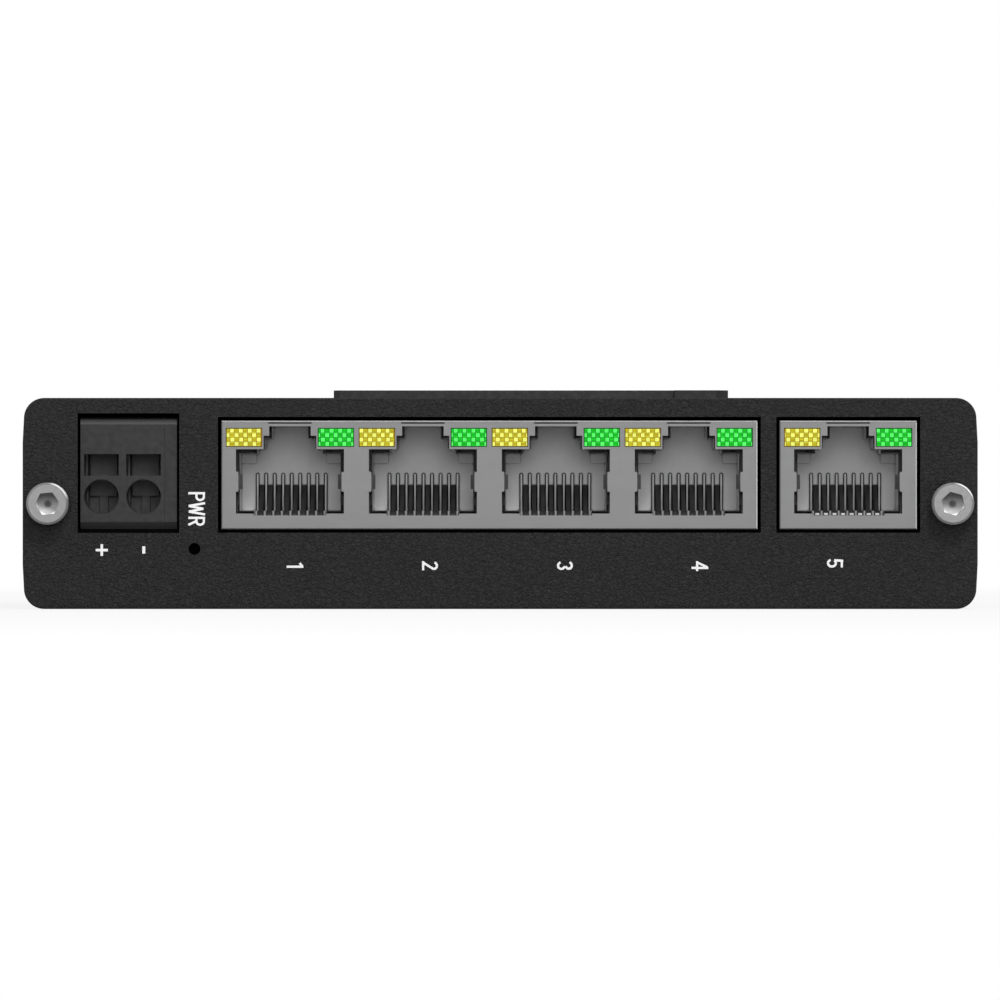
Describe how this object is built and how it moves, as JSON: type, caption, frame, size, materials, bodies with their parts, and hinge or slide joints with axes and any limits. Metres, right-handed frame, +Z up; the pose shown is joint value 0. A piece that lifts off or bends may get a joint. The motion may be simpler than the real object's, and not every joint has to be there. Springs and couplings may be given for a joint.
{
  "type": "din rail ethernet switch",
  "caption": "Flat black network switch with shielded plug sockets, two signal lamps at each, a screwless power terminal and a rear clip for a mounting rail.",
  "frame": {"origin": "middle of the broad lower face, on the surface that the switch lies on", "axes": "+X along the front panel towards the single jack, +Y from the front panel to the rail clip, +Z up from the broad face"},
  "size_m": [0.113, 0.0812, 0.0266],
  "materials": {
    "anodised_case": "black satin anodised extrusion",
    "coated_panel": "black fine-texture powder coat on aluminium",
    "screw_steel": "nickel-plated steel",
    "board": "green solder mask on glass-fibre board",
    "shield_metal": "dull tin-plated sheet",
    "potted_block": "black potting compound",
    "insulator_plastic": "grey moulded plastic",
    "contact_wire": "darkened plated phosphor bronze",
    "lamp_yellow": "yellow pebbled lens",
    "lamp_green": "green pebbled lens",
    "terminal_plastic": "black polyamide",
    "spring_steel": "stainless spring steel",
    "contact_metal": "tin-plated copper alloy",
    "lamp_body": "dark lamp body",
    "bracket_plastic": "black glass-filled polyamide",
    "part_yellow": "yellow coated part",
    "chip_plastic": "black moulded package",
    "capacitor_can": "bare aluminium can",
    "ferrite": "dark grey ferrite"
  },
  "bodies": {
    "root": {"bracket_screws": "screw_steel", "bridge_rectifier": "chip_plastic", "bulk_capacitors": "capacitor_can", "case_screws": "screw_steel", "case_tube": "anodised_case", "circuit_board": "board", "crystal": "capacitor_can", "four_port_magnetics": "potted_block", "four_port_shield": "shield_metal", "front_panel": "coated_panel", "port_1_contacts": "contact_wire", "port_1_insulator": "insulator_plastic", "port_1_lamp_green": "lamp_green", "port_1_lamp_yellow": "lamp_yellow", "port_2_contacts": "contact_wire", "port_2_insulator": "insulator_plastic", "port_2_lamp_green": "lamp_green", "port_2_lamp_yellow": "lamp_yellow", "port_3_contacts": "contact_wire", "port_3_insulator": "insulator_plastic", "port_3_lamp_green": "lamp_green", "port_3_lamp_yellow": "lamp_yellow", "port_4_contacts": "contact_wire", "port_4_insulator": "insulator_plastic", "port_4_lamp_green": "lamp_green", "port_4_lamp_yellow": "lamp_yellow", "port_5_contacts": "contact_wire", "port_5_insulator": "insulator_plastic", "port_5_lamp_green": "lamp_green", "port_5_lamp_yellow": "lamp_yellow", "power_inductor": "ferrite", "power_lamp": "lamp_body", "press_nuts": "screw_steel", "rail_bracket": "bracket_plastic", "rail_spring": "spring_steel", "rear_panel": "coated_panel", "regulator_chip": "chip_plastic", "resettable_fuse": "part_yellow", "single_port_magnetics": "potted_block", "single_port_shield": "shield_metal", "surge_suppressor": "chip_plastic", "switch_chip": "chip_plastic", "terminal_clamps": "spring_steel", "terminal_housing": "terminal_plastic", "terminal_pins": "contact_metal", "terminal_side_plate": "terminal_plastic"}
  },
  "joints": []
}
